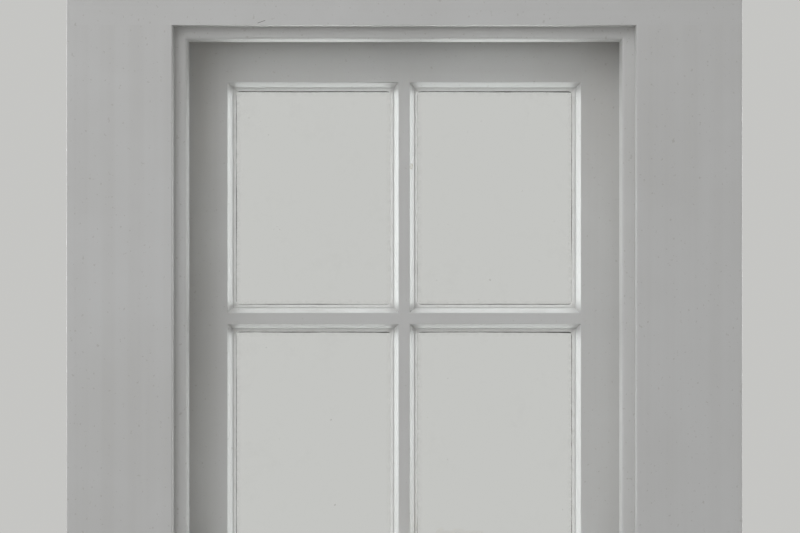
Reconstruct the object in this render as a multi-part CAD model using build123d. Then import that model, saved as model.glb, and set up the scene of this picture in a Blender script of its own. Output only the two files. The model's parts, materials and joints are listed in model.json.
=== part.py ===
"""Double-hung sash window in its weighted box frame, four panes over four.

Millimetres. X runs right as seen from the room, Y outwards through the wall, Z up.
The origin is on the underside of the sill, midway along it, in the plane of the parting beads.
"""

from build123d import *
from dataclasses import dataclass
import math
import os

# Opening of the frame, between the pulley stiles and from sill to soffit
opening_width = 480.0
opening_height = 1170.0

# Play that lets the sashes run
bead_play = 1.0
edge_play = 1.5
sill_play = 0.5
meeting_play = 0.8

# Sash members, each width measured to the sight line of the glass
sash_thickness = 35.0
sash_stile_width = 54.0
top_rail_height = 56.0
meeting_rail_height = 40.0
bottom_rail_height = 78.0
bar_width = 24.0

# Moulding on the room side of the glass and rebate on the outside
splay_width = 5.0
splay_depth = 11.0
splay_swell = 0.4
fillet_width = 1.0
glass_depth = 14.0
rebate_width = 7.0
glass_thickness = 3.0
glass_play = 1.5
putty_setback = 0.5
putty_edge = 1.0

# Joints of the sash frame
tenon_thickness = 12.0
tenon_margin = 9.0
bar_tenon_length = 12.0
bar_tenon_margin = 2.0
crossing_stub = 4.0
meeting_splay = 5.0

# Box frame
pulley_stile_thickness = 22.0
lining_thickness = 20.0
back_lining_thickness = 8.0
box_width = 50.0
head_thickness = 22.0
head_lining_height = 60.0
housing_depth = 6.0
parting_thickness = 13.0
parting_show = 8.0
parting_bury = 8.0
parting_ease = 1.5
staff_show = 13.0
staff_depth = 32.0
staff_ease = 3.0
slip_thickness = 6.0
slip_width = 44.0
slip_foot = 90.0
pocket_width = 30.0
pocket_foot = 90.0
pocket_height = 360.0
pocket_bevel = 8.0
pocket_kerf = 0.3

# Sill, stool, apron and casing
sill_height = 60.0
sill_nose = 51.5
sill_slope_degrees = 7.0
sill_ease = 3.0
stile_housing_floor = 40.0
drip_inset = 12.0
drip_width = 8.0
drip_depth = 6.0
stool_thickness = 22.0
stool_nose = 39.5
stool_wing = 20.0
stool_round = 9.0
apron_height = 56.0
apron_thickness = 18.0
casing_width = 110.0
casing_thickness = 20.0
casing_ease = 2.0
relief_margin = 22.0
relief_depth = 2.0

# Cord, pulleys and weights
cord_diameter = 6.0
cord_gap = 0.3
cord_inset = 4.0
cord_groove_width = 14.0
cord_groove_depth = 10.0
knot_radius = 6.2
knot_drop = 170.0
knot_set = 2.5
knot_hole_past = 2.0
pulley_drop = 80.0
pulley_pitch_radius = 22.5
pulley_flange = 2.0
pulley_width = 10.0
pulley_web_recess = 1.6
pulley_hub_radius = 8.0
pulley_rim = 4.0
axle_radius = 4.0
axle_clearance = 0.08
cheek_gap = 0.4
cheek_thickness = 2.6
faceplate_width = 26.0
faceplate_height = 118.0
faceplate_thickness = 3.0
faceplate_corner = 3.0
case_height = 80.0
case_back = 11.0
case_shoulder = 12.0
weight_diameter = 30.0
weight_chamfer = 3.0
weight_knot_depth = 22.0
weight_headroom = 60.0

# How far each sash travels
fastener_room = 19.5
upper_sash_rest = 35.5

# Densities that the balance weights are worked out from, kg per cubic millimetre
timber_density = 600e-9
glass_density = 2500e-9
putty_density = 1100e-9
iron_density = 7200e-9

# Fastener on the meeting rails
fastener_x = 60.0
fastener_offset = 4.0
fastener_plate = (50.0, 20.0, 3.0)
fastener_corner = 6.6
fastener_boss_radius = 8.0
fastener_boss_height = 5.0
fastener_pin_radius = 3.0
fastener_cap_radius = 6.0
fastener_cap_height = 2.0
fastener_gap = 0.3
pivot_clearance = 0.06
lever_thickness = 5.0
lever_arm_width = 10.0
lever_reach = 27.0
lever_tail = 20.0
lever_neck_width = 6.0
knob_radius = 5.0
knob_lift = 3.5
keeper_plate = (44.0, 18.0, 3.0)
keeper_corner = 4.5
keeper_front = 1.5
keeper_post_width = 7.0
keeper_lug_width = 15.0
keeper_lug_thickness = 2.4
keeper_lug_depth = 12.0
keeper_side_gap = 2.0
keeper_under_gap = 0.4
keeper_lug_ease = 1.2

# Sash lifts on the bottom rail
lift_x = 120.0
lift_height = 43.0
lift_plate = (44.0, 34.0)
lift_plate_thickness = 2.5
lift_plate_foot = 8.0
lift_hook_width = 34.0
lift_hook_inner = 8.0
lift_hook_thickness = 3.0
lift_hook_bite = 2.0
lift_corner = 4.0
lift_lip_swell = 0.4

# How far a cutting shape runs past what it cuts
overcut = 1.0
long_overcut = 20.0

# Places across the window
half_opening = opening_width / 2
sash_edge = half_opening - edge_play
stile_back = half_opening + pulley_stile_thickness
cavity_end = stile_back + box_width
frame_edge = cavity_end + back_lining_thickness
parting_face = half_opening - parting_show
staff_face = half_opening - staff_show
casing_edge = half_opening + casing_width

# Places through the wall
parting_half = parting_thickness / 2
lower_back = -(parting_half + bead_play)
lower_face = lower_back - sash_thickness
staff_back = lower_face - bead_play
lining_face = staff_back - staff_depth
box_front = lining_face + lining_thickness
casing_face = lining_face - casing_thickness
upper_face = parting_half + bead_play
upper_back = upper_face + sash_thickness
box_back = upper_back + bead_play
outer_face = box_back + lining_thickness
sill_front = outer_face + sill_nose

# Places up the window
soffit = sill_height + opening_height
head_top = soffit + head_thickness
lining_top = soffit + head_lining_height
upper_top = soffit - edge_play
lower_bottom = sill_height + sill_play
fixed_heights = top_rail_height + bottom_rail_height + 2 * meeting_rail_height + 2 * bar_width
pane_height = (upper_top - lower_bottom + meeting_rail_height - fixed_heights) / 4
lower_top = lower_bottom + bottom_rail_height + 2 * pane_height + bar_width + meeting_rail_height
upper_bottom = lower_top - meeting_rail_height
stool_top = sill_height + stool_thickness
pulley_z = soffit - pulley_drop
moulding_width = splay_width + fillet_width

# Pulley and cord places, shared by the stiles, the sashes and the weights
sash_mid = sash_thickness / 2
sash_cord_x = sash_edge - cord_inset
pulley_x = sash_cord_x + pulley_pitch_radius
weight_cord_x = pulley_x + pulley_pitch_radius
flange_radius = pulley_pitch_radius + pulley_flange
lower_y = lower_face + sash_mid
upper_y = upper_face + sash_mid
knot_x = sash_cord_x - knot_set

# Travel of the sashes
fastener_height = fastener_plate[2] + fastener_boss_height + fastener_gap + knob_lift + knob_radius
lower_travel = soffit - staff_show - fastener_room - fastener_height - lower_top
upper_travel = upper_bottom - sill_height - upper_sash_rest


def block(x, y, z):
    """A box between the two values of each pair."""
    centre = [(a + b) / 2 for a, b in (x, y, z)]
    return Pos(*centre) * Box(x[1] - x[0], y[1] - y[0], z[1] - z[0])


def front_prism(points, y0, y1):
    """An outline seen from the room, as (x, z) points, between two depths."""
    outline = make_face(Polyline(*points, close=True))
    return extrude(Plane.XZ.offset(-y1) * outline, amount=y1 - y0)


def side_prism(points, x0, x1):
    """An outline seen from the side, as (y, z) points, between two places across."""
    outline = make_face(Polyline(*points, close=True))
    return extrude(Plane.YZ.offset(x0) * outline, amount=x1 - x0)


def rod(start, end, radius):
    """A round bar between two points on a line parallel to an axis."""
    run = Vector(*end) - Vector(*start)
    return extrude(Plane(origin=start, z_dir=run) * Circle(radius), amount=run.length)


def eased(shape, radius, keep):
    """The shape with the edges that keep() picks rounded."""
    return fillet([edge for edge in shape.edges() if keep(edge)], radius)


def left_of(shape):
    """The same piece on the left-hand side."""
    return mirror(shape, about=Plane.YZ)


def group(*shapes):
    """Separate solids as one node."""
    return Compound([solid for shape in shapes for solid in shape.solids()])


def near(value, wanted):
    return abs(value - wanted) < 0.01


def runs(edge, direction):
    """Whether an edge runs along X, Y or Z."""
    return abs(getattr(edge.tangent_at(0), direction)) > 0.99


# Sill and its weathered top


def weathering(y):
    """Height of the sill's top at a depth."""
    return sill_height - max(0.0, y - staff_back) * math.tan(math.radians(sill_slope_degrees))


def below_weathering(lift, x_reach):
    """Everything under the sill's top, raised by lift, to cut what stands on it."""
    inner = lining_face - long_overcut
    past = sill_front + long_overcut
    points = [
        (inner, -long_overcut),
        (past, -long_overcut),
        (past, weathering(past) + lift),
        (staff_back, sill_height + lift),
        (inner, sill_height + lift),
    ]
    return side_prism(points, -x_reach, x_reach)


def make_sill():
    points = [
        (lining_face, 0),
        (sill_front, 0),
        (sill_front, weathering(sill_front)),
        (staff_back, sill_height),
        (lining_face, sill_height),
    ]
    sill = side_prism(points, -frame_edge, frame_edge)
    drip_end = sill_front - drip_inset
    drip = block((-frame_edge, frame_edge), (drip_end - drip_width, drip_end), (0, drip_depth))
    housing = block((half_opening, stile_back), (box_front, box_back), (stile_housing_floor, sill_height))
    sill = sill - drip - housing - left_of(housing)
    return eased(sill, sill_ease, lambda e: near(e.center().Y, sill_front) and e.center().Z > drip_depth)


# Members and panes of a sash


@dataclass
class Pane:
    """Daylight of one pane, between the sight lines round it."""

    left: float
    right: float
    low: float
    high: float
    moulded_low: bool = True

    @property
    def flats(self):
        """The same opening measured to the flat faces, outside the mouldings."""
        low = self.low - (moulding_width if self.moulded_low else 0)
        return self.left - moulding_width, self.right + moulding_width, low, self.high + moulding_width


def sticking(sight, outwards, moulded):
    """Edges of the moulding and rebate on one side of a pane, from the room face out.

    Points are (place, depth). The last run ends past the outside of the sash.
    """
    lip = sight + outwards * (moulding_width if moulded else 0)
    edges = []
    start = (lip, 0)
    if moulded:
        foot = (sight + outwards * fillet_width, splay_depth)
        chord = math.hypot(splay_width, splay_depth)
        crown = (
            lip - outwards * (splay_width / 2 + splay_swell * splay_depth / chord),
            splay_depth / 2 - splay_swell * splay_width / chord,
        )
        edges = [ThreePointArc(start, crown, foot), Line(foot, (sight, splay_depth))]
        start = (sight, splay_depth)
    wall = sight + outwards * rebate_width
    seat = (sight, glass_depth)
    edges += [
        Line((lip, -overcut), (lip, 0)),
        Line(start, seat),
        Line(seat, (wall, glass_depth)),
        Line((wall, glass_depth), (wall, sash_thickness + overcut)),
    ]
    return edges, (lip, -overcut), (wall, sash_thickness + overcut)


def opening_section(low, high, moulded_low):
    """Section through a pane's opening, from the room to the outside."""
    low_edges, low_start, low_end = sticking(low, -1, moulded_low)
    high_edges, high_start, high_end = sticking(high, 1, True)
    closing = [Line(low_start, high_start), Line(low_end, high_end)]
    return make_face(low_edges + high_edges + closing)


def taper_section(low, high):
    """Section through the space that the putty leaves open outside the glass."""
    near_glass = glass_depth + glass_thickness
    past = sash_thickness + overcut
    slope = (rebate_width - putty_setback - putty_edge) / (sash_thickness - near_glass)
    wide = slope * (past - near_glass) + putty_setback
    points = [
        (low - putty_setback, near_glass),
        (high + putty_setback, near_glass),
        (high + wide, past),
        (low - wide, past),
    ]
    return make_face(Polyline(*points, close=True))


def both_ways(across, upwards, pane, face_y):
    """The space whose sections across and upwards are the two given."""
    plan = Plane(origin=(0, face_y, pane.low - long_overcut), x_dir=(1, 0, 0), z_dir=(0, 0, 1))
    side = Plane(origin=(pane.right + long_overcut, face_y, 0), x_dir=(0, 0, 1), z_dir=(-1, 0, 0))
    tall = extrude(plan * across, amount=pane.high - pane.low + 2 * long_overcut)
    wide = extrude(side * upwards, amount=pane.right - pane.left + 2 * long_overcut)
    return tall & wide


def pane_opening(pane, face_y):
    across = opening_section(pane.left, pane.right, True)
    upwards = opening_section(pane.low, pane.high, pane.moulded_low)
    return both_ways(across, upwards, pane, face_y)


def pane_glass(pane, face_y):
    lap = rebate_width - glass_play
    depths = (face_y + glass_depth, face_y + glass_depth + glass_thickness)
    return block((pane.left - lap, pane.right + lap), depths, (pane.low - lap, pane.high + lap))


def pane_putty(pane, face_y):
    x = (pane.left - rebate_width, pane.right + rebate_width)
    z = (pane.low - rebate_width, pane.high + rebate_width)
    bed = block(x, (face_y + glass_depth, face_y + sash_thickness), z)
    across = taper_section(pane.left, pane.right)
    upwards = taper_section(pane.low, pane.high)
    return bed - pane_glass(pane, face_y) - both_ways(across, upwards, pane, face_y)


def border(pane, side, face_y):
    """The mitred strip of moulding along one side of a pane, before it is shaped."""
    x0, x1, z0, z1 = pane.flats
    flat = {"left": ((x0, z1), (x0, z0)), "right": ((x1, z0), (x1, z1))}
    flat |= {"low": ((x0, z0), (x1, z0)), "high": ((x1, z1), (x0, z1))}
    sight = {
        "left": ((pane.left, pane.low), (pane.left, pane.high)),
        "right": ((pane.right, pane.high), (pane.right, pane.low)),
        "low": ((pane.right, pane.low), (pane.left, pane.low)),
        "high": ((pane.left, pane.high), (pane.right, pane.high)),
    }
    return front_prism([*flat[side], *sight[side]], face_y, face_y + sash_thickness)


def tenon(x, z, face_y):
    """A tenon in the middle of the sash's thickness."""
    middle = face_y + sash_mid
    return block(x, (middle - tenon_thickness / 2, middle + tenon_thickness / 2), z)


def cord_groove(top, face_y):
    """Groove in the right edge of a sash, and the hole at its foot for the knot."""
    middle = face_y + sash_mid
    foot = top - knot_drop
    past = sash_edge + overcut
    y = (middle - cord_groove_width / 2, middle + cord_groove_width / 2)
    groove = block((sash_edge - cord_groove_depth, past), y, (foot, top + overcut))
    hole_end = knot_x - knot_radius - knot_hole_past
    return groove + rod((hole_end, middle, foot), (past, middle, foot), knot_radius + cord_gap)


def make_sash(name, face_y, bottom, top, rails, moulded_low):
    """The wooden members, glass and putty of one sash, as a node for each.

    rails holds the heights of the bottom and top rails.
    """
    low_rail, high_rail = rails
    sight = sash_edge - sash_stile_width
    middle = (bottom + low_rail + top - high_rail) / 2
    rows = [
        (bottom + low_rail, middle - bar_width / 2, moulded_low),
        (middle + bar_width / 2, top - high_rail, True),
    ]
    columns = {"left": (-sight, -bar_width / 2), "right": (bar_width / 2, sight)}
    panes = {
        (side, row): Pane(*columns[side], *rows[row]) for side in columns for row in (0, 1)
    }
    depths = (face_y, face_y + sash_thickness)
    openings = {key: pane_opening(pane, face_y) for key, pane in panes.items()}
    flat_x = sight + moulding_width
    half_bar = bar_width / 2 - moulding_width
    low_flat = panes["right", 0].flats[2]
    high_flat = panes["right", 1].flats[3]
    groove = cord_groove(top, face_y)
    grooves = groove + left_of(groove)

    # Tenons: through the stiles at the rails, and short ones on the bars
    rail_tenons = {
        "low": (bottom + tenon_margin, low_flat - tenon_margin),
        "high": (high_flat + tenon_margin, top - tenon_margin),
    }
    through = {
        end: tenon((-sash_edge, sash_edge), z, face_y) - grooves for end, z in rail_tenons.items()
    }
    bar_half_tenon = half_bar - bar_tenon_margin
    upright = tenon(
        (-bar_half_tenon, bar_half_tenon),
        (low_flat - bar_tenon_length, high_flat + bar_tenon_length),
        face_y,
    )
    cross_z = (middle - bar_half_tenon, middle + bar_half_tenon)
    cross = tenon((half_bar - crossing_stub, flat_x + bar_tenon_length), cross_z, face_y)

    # Stile on the right, and its mirror image
    stile = block((flat_x, sash_edge), depths, (bottom, top))
    for row in (0, 1):
        stile += border(panes["right", row], "right", face_y)
    for row in (0, 1):
        stile -= openings["right", row]
    stile = stile - through["low"] - through["high"] - cross - groove

    # Rails between the stiles
    low_part = block((-flat_x, flat_x), depths, (bottom, low_flat)) + through["low"]
    high_part = block((-flat_x, flat_x), depths, (high_flat, top)) + through["high"]
    for side in columns:
        if moulded_low:
            low_part += border(panes[side, 0], "low", face_y)
        high_part += border(panes[side, 1], "high", face_y)
    for side in columns:
        low_part -= openings[side, 0]
        high_part -= openings[side, 1]
    low_part -= upright
    high_part -= upright

    # Bars: one upright from rail to rail, and a cross bar each side of it
    bar = block((-half_bar, half_bar), depths, (low_flat, high_flat)) + upright
    for key, pane in panes.items():
        bar += border(pane, "right" if key[0] == "left" else "left", face_y)
    for key in panes:
        bar -= openings[key]
    bar = bar - cross - left_of(cross)
    cross_bar = block((half_bar, flat_x), depths, (middle - half_bar, middle + half_bar)) + cross
    cross_bar = cross_bar + border(panes["right", 0], "high", face_y)
    cross_bar = cross_bar + border(panes["right", 1], "low", face_y)
    cross_bar = cross_bar - openings["right", 0] - openings["right", 1]

    return {
        f"{name}_stile_right": stile,
        f"{name}_stile_left": left_of(stile),
        "low rail": low_part,
        "high rail": high_part,
        f"{name}_vertical_bar": bar,
        f"{name}_cross_bar_right": cross_bar,
        f"{name}_cross_bar_left": left_of(cross_bar),
        f"{name}_glass_panes": group(*[pane_glass(pane, face_y) for pane in panes.values()]),
        f"{name}_putty": group(*[pane_putty(pane, face_y) for pane in panes.values()]),
    }


def meeting_y(z):
    """Depth of the splayed plane between the two meeting rails, at a height."""
    return -meeting_splay * (lower_top - z) / meeting_rail_height


def make_lower_sash():
    under = below_weathering(sill_play, half_opening)
    lowest = weathering(lower_back)
    pieces = make_sash(
        "lower", lower_face, lowest, lower_top,
        (lower_bottom + bottom_rail_height - lowest, meeting_rail_height), True,
    )
    pieces["lower_bottom_rail"] = pieces.pop("low rail")
    for name in ("lower_stile_right", "lower_stile_left", "lower_bottom_rail"):
        pieces[name] -= under
    rail = pieces.pop("high rail")
    foot = upper_bottom + rebate_width
    gap = meeting_play / 2
    points = [
        (lower_back, foot),
        (meeting_y(foot) - gap, foot),
        (meeting_y(lower_top) - gap, lower_top),
        (lower_back, lower_top),
    ]
    reach = parting_face - edge_play
    pieces["lower_meeting_rail"] = rail + side_prism(points, -reach, reach)
    return pieces


def make_upper_sash():
    pieces = make_sash(
        "upper", upper_face, upper_bottom, upper_top,
        (meeting_rail_height, top_rail_height), False,
    )
    pieces["upper_top_rail"] = pieces.pop("high rail")
    rail = pieces.pop("low rail")
    gap = meeting_play / 2
    points = [
        (meeting_y(upper_bottom) + gap, upper_bottom),
        (upper_face, upper_bottom),
        (upper_face, lower_top),
        (meeting_y(lower_top) + gap, lower_top),
    ]
    reach = parting_face - edge_play
    pieces["upper_meeting_rail"] = rail + side_prism(points, -reach, reach)
    return pieces


# Box frame


def make_pulley_case(y):
    """Right-hand pulley case: a faceplate let into the stile, and cheeks behind it."""
    half_face = faceplate_height / 2
    half_case = case_height / 2
    inner = pulley_width / 2 + cheek_gap
    outer = inner + cheek_thickness
    plate_back = half_opening + faceplate_thickness
    z = (pulley_z - half_face, pulley_z + half_face)
    plate = block((half_opening, plate_back), (y - faceplate_width / 2, y + faceplate_width / 2), z)
    plate = fillet(plate.edges().filter_by(Axis.X), faceplate_corner)
    shoulder = half_opening + case_shoulder + faceplate_thickness
    back = pulley_x + case_back
    cheek = [
        (plate_back, pulley_z - half_case),
        (shoulder, pulley_z - half_case),
        (back, pulley_z - case_back),
        (back, pulley_z + case_back),
        (shoulder, pulley_z + half_case),
        (plate_back, pulley_z + half_case),
    ]
    body = front_prism(cheek, y - outer, y + outer)
    hollow_end = half_case - cheek_thickness
    hollow_z = (pulley_z - hollow_end, pulley_z + hollow_end)
    hollow = block((half_opening - overcut, back + overcut), (y - inner, y + inner), hollow_z)
    axle = rod((pulley_x, y - outer, pulley_z), (pulley_x, y + outer, pulley_z), axle_radius)
    mortise = front_prism(cheek, y - outer, y + outer)
    mortise += block((plate_back, stile_back + overcut), (y - outer, y + outer), hollow_z)
    return plate + body - hollow - axle, axle, plate + mortise


def make_pulley_wheel(y):
    """Right-hand wheel, turned with a round groove for the cord and a dished web."""
    half = pulley_width / 2
    bore = axle_radius + axle_clearance
    groove = cord_diameter / 2 + cord_gap
    rim = pulley_pitch_radius - groove - pulley_rim
    blank = Circle(flange_radius) - Circle(bore)
    wheel = extrude(Plane.XZ.offset(-(y + half)) * Pos(pulley_x, pulley_z) * blank, amount=2 * half)
    axis = Axis((pulley_x, y, pulley_z), (0, 1, 0))
    mouth = Pos(pulley_flange) * Rectangle(2 * pulley_flange, 2 * groove)
    groove_section = Pos(pulley_x + pulley_pitch_radius, y) * (Circle(groove) + mouth)
    wheel -= revolve(Plane.XY.offset(pulley_z) * groove_section, axis, 360)
    dish = Circle(rim) - Circle(pulley_hub_radius)
    for face in (y + half, y - half + pulley_web_recess):
        wheel -= extrude(
            Plane.XZ.offset(-face) * Pos(pulley_x, pulley_z) * dish, amount=pulley_web_recess
        )
    return wheel


def make_cord(y, knot_z, weight_knot_z):
    """Right-hand cord: knot in the sash, up over the pulley, and down to the weight's knot."""
    radius = cord_diameter / 2
    sash_run = rod((sash_cord_x, y, knot_z), (sash_cord_x, y, pulley_z), radius)
    weight_run = rod((weight_cord_x, y, weight_knot_z), (weight_cord_x, y, pulley_z), radius)
    axis = Axis((pulley_x, y, pulley_z), (0, 1, 0))
    over = revolve(Plane.XY.offset(pulley_z) * Pos(sash_cord_x, y) * Circle(radius), axis, 180)
    knots = Pos(knot_x, y, knot_z) * Sphere(knot_radius)
    return sash_run + over + weight_run + knots + Pos(weight_cord_x, y, weight_knot_z) * Sphere(knot_radius)


def make_weight(y, top, length):
    """Right-hand cast weight, with the cord's hole in its top and a pocket for the knot."""
    radius = weight_diameter / 2
    body = Pos(weight_cord_x, y, top - length / 2) * Cylinder(radius, length)
    body = chamfer(body.edges().filter_by(GeomType.CIRCLE), weight_chamfer)
    knot_z = top - weight_knot_depth
    hole_radius = cord_diameter / 2 + cord_gap
    hole = rod((weight_cord_x, y, knot_z), (weight_cord_x, y, top + overcut), hole_radius)
    reach = radius + overcut
    ends = [(weight_cord_x + x, y, knot_z) for x in (-reach, reach)]
    pocket = rod(*ends, knot_radius + cord_gap)
    return body - hole - pocket


def make_pocket(kerf):
    """Right-hand pocket piece, larger by the kerf for its hole."""
    low = sill_height + pocket_foot
    high = low + pocket_height
    points = [
        (half_opening, low - kerf),
        (stile_back, low + pocket_bevel - kerf),
        (stile_back, high - pocket_bevel + kerf),
        (half_opening, high + kerf),
    ]
    half = pocket_width / 2 + kerf
    return front_prism(points, lower_y - half, lower_y + half)


def make_frame():
    """Sill, head, boxes, linings and beads. Right-hand pieces are made and mirrored."""
    sill = make_sill()
    under = below_weathering(0, frame_edge + overcut)
    lower_case, lower_axle, lower_mortise = make_pulley_case(lower_y)
    upper_case, upper_axle, upper_mortise = make_pulley_case(upper_y)

    bead_x = (parting_face, half_opening + parting_bury)
    side_bead = block(bead_x, (-parting_half, parting_half), (stile_housing_floor, soffit)) - under
    side_bead = eased(
        side_bead, parting_ease,
        lambda e: near(e.center().X, parting_face) and runs(e, "Z"),
    )
    head_bead = block(
        (-parting_face, parting_face), (-parting_half, parting_half),
        (soffit - parting_show, soffit + parting_bury),
    )
    head_bead = eased(
        head_bead, parting_ease,
        lambda e: near(e.center().Z, soffit - parting_show) and runs(e, "X"),
    )

    stile_z = (stile_housing_floor, soffit + housing_depth)
    stile = block((half_opening, stile_back), (box_front, box_back), stile_z)
    groove = block((half_opening, half_opening + parting_bury), (-parting_half, parting_half), stile_z)
    stile = stile - groove - lower_mortise - upper_mortise - make_pocket(pocket_kerf)

    head = block((-frame_edge, frame_edge), (box_front, box_back), (soffit, head_top))
    head = head - block((half_opening, stile_back), (box_front, box_back), stile_z)
    head = head - block((-stile_back, -half_opening), (box_front, box_back), stile_z) - head_bead

    lining = (lining_face, box_front)
    outer = (box_back, outer_face)
    outer_side = block((parting_face, frame_edge), outer, (stile_housing_floor, lining_top)) - under
    back_x = (cavity_end, frame_edge)
    back = block(back_x, (box_front, box_back), (stile_housing_floor, soffit)) - under
    slip_middle = (stile_back + cavity_end) / 2
    slip_x = (slip_middle - slip_width / 2, slip_middle + slip_width / 2)
    slip_z = (sill_height + slip_foot, soffit)
    slip = block(slip_x, (-slip_thickness / 2, slip_thickness / 2), slip_z)

    # Staff beads, mitred at the head
    staff_y = (lining_face, staff_back)
    side_staff = front_prism(
        [
            (staff_face, stool_top), (half_opening, stool_top),
            (half_opening, soffit), (staff_face, soffit - staff_show),
        ],
        *staff_y,
    )
    head_staff = front_prism(
        [
            (-half_opening, soffit), (-staff_face, soffit - staff_show),
            (staff_face, soffit - staff_show), (half_opening, soffit),
        ],
        *staff_y,
    )
    side_staff = eased(
        side_staff, staff_ease,
        lambda e: near(e.center().X, staff_face) and near(e.center().Y, lining_face),
    )
    head_staff = eased(
        head_staff, staff_ease,
        lambda e: near(e.center().Z, soffit - staff_show) and near(e.center().Y, lining_face),
    )

    pocket = make_pocket(0)
    return {
        "sill": sill,
        "frame_head": head,
        "pulley_stile_right": stile,
        "pulley_stile_left": left_of(stile),
        "inner_lining_right": block((half_opening, frame_edge), lining, (sill_height, lining_top)),
        "inner_lining_left": block((-frame_edge, -half_opening), lining, (sill_height, lining_top)),
        "inner_lining_head": block((-half_opening, half_opening), lining, (soffit, lining_top)),
        "outer_lining_right": outer_side,
        "outer_lining_left": left_of(outer_side),
        "outer_lining_head": block(
            (-parting_face, parting_face), outer, (soffit - parting_show, lining_top)
        ),
        "back_lining_right": back,
        "back_lining_left": left_of(back),
        "parting_bead_right": side_bead,
        "parting_bead_left": left_of(side_bead),
        "parting_bead_head": head_bead,
        "staff_bead_right": side_staff,
        "staff_bead_left": left_of(side_staff),
        "staff_bead_head": head_staff,
        "parting_slips": group(slip, left_of(slip)),
        "pocket_pieces": group(pocket, left_of(pocket)),
        "pulley_cases": group(lower_case, upper_case, left_of(lower_case), left_of(upper_case)),
        "pulley_axle_pins": group(lower_axle, upper_axle, left_of(lower_axle), left_of(upper_axle)),
    }


# Trim on the room side


def make_trim():
    """Casing, stool and apron. The casing's back is relieved, so that it lies on its two edges."""
    casing_y = (casing_face, lining_face)
    relief_y = (lining_face - relief_depth, lining_face + overcut)
    top = soffit + casing_width
    leg = block((half_opening, casing_edge), casing_y, (stool_top, soffit))
    leg = eased(
        leg, casing_ease,
        lambda e: near(e.center().Y, casing_face) and runs(e, "Z"),
    )
    relief_x = (half_opening + relief_margin, casing_edge - relief_margin)
    leg -= block(relief_x, relief_y, (stool_top - overcut, soffit + overcut))
    head = block((-casing_edge, casing_edge), casing_y, (soffit, top))
    head = eased(
        head, casing_ease,
        lambda e: near(e.center().Y, casing_face) and not near(e.center().Z, soffit),
    )
    relief_end = casing_edge - relief_margin
    head -= block((-relief_end, relief_end), relief_y, (soffit + relief_margin, top - relief_margin))
    wing = casing_edge + stool_wing
    front = casing_face - stool_nose
    stool = block((-wing, wing), (front, lining_face), (sill_height, stool_top))
    stool = eased(stool, stool_round, lambda e: near(e.center().Y, front) and near(e.center().X, 0))
    stool += block((-half_opening, half_opening), (lining_face, staff_back), (sill_height, stool_top))
    apron_y = (lining_face - apron_thickness, lining_face)
    apron = block((-casing_edge, casing_edge), apron_y, (sill_height - apron_height, sill_height))
    apron = eased(
        apron, casing_ease,
        lambda e: near(e.center().Y, apron_y[0]) and not near(e.center().Z, sill_height),
    )
    return {
        "casing_right": leg,
        "casing_left": left_of(leg),
        "casing_head": head,
        "stool": stool,
        "apron": apron,
    }


# Brass fittings


def make_fastener():
    """Quadrant fastener: base and lever on the lower meeting rail, keeper on the upper."""
    pivot_y = lower_y + fastener_offset
    top = lower_top
    long, wide, thick = fastener_plate
    plate_x = (fastener_x - long / 2, fastener_x + long / 2)
    plate = block(plate_x, (pivot_y - wide / 2, pivot_y + wide / 2), (top, top + thick))
    plate = fillet(plate.edges().filter_by(Axis.Z), fastener_corner)
    boss_top = top + thick + fastener_boss_height
    lever_low = boss_top + fastener_gap
    lever_high = lever_low + lever_thickness
    cap_low = lever_high + fastener_gap
    cap_high = cap_low + fastener_cap_height

    def upright(x, y, z0, z1, radius):
        return rod((x, y, z0), (x, y, z1), radius)

    base = plate + upright(fastener_x, pivot_y, top, boss_top, fastener_boss_radius)
    base += upright(fastener_x, pivot_y, boss_top, cap_high, fastener_pin_radius)
    cap = upright(fastener_x, pivot_y, cap_low, cap_high, fastener_cap_radius)
    cap = eased(cap, fastener_cap_height / 2, lambda e: near(e.center().Z, cap_high))
    base += cap

    tip_x = fastener_x + lever_reach - lever_arm_width / 2
    half_arm = lever_arm_width / 2
    levels = (lever_low, lever_high)
    lever = upright(fastener_x, pivot_y, *levels, fastener_boss_radius)
    lever += block((fastener_x, tip_x), (pivot_y - half_arm, pivot_y + half_arm), levels)
    lever += upright(tip_x, pivot_y, *levels, half_arm)
    knob_x = fastener_x - lever_tail
    half_neck = lever_neck_width / 2
    lever += block((knob_x, fastener_x), (pivot_y - half_neck, pivot_y + half_neck), levels)
    lever += Pos(knob_x, pivot_y, lever_low + knob_lift) * Rot(0, 0, 180) * Sphere(knob_radius)
    bore = fastener_pin_radius + pivot_clearance
    lever -= upright(fastener_x, pivot_y, lever_low - overcut, lever_high + knob_lift, bore)

    # Keeper: a post beside the locked arm, and a lug that reaches over its tip
    long, wide, thick = keeper_plate
    keeper_x = (fastener_x - long / 2, fastener_x + long / 2)
    keeper = block(keeper_x, (keeper_front, keeper_front + wide), (top, top + thick))
    keeper = fillet(keeper.edges().filter_by(Axis.Z), keeper_corner)
    post_end = fastener_x - half_arm - keeper_side_gap
    lug_low = lever_high + keeper_under_gap
    lug_high = lug_low + keeper_lug_thickness
    depth = (keeper_front, keeper_front + keeper_lug_depth)
    keeper += block((post_end - keeper_post_width, post_end), depth, (top + thick, lug_high))
    lug = block((post_end - keeper_post_width, post_end + keeper_lug_width), depth, (lug_low, lug_high))
    keeper += eased(lug, keeper_lug_ease, lambda e: near(e.center().Z, lug_high) and runs(e, "Y"))
    return base, lever, keeper


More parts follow.
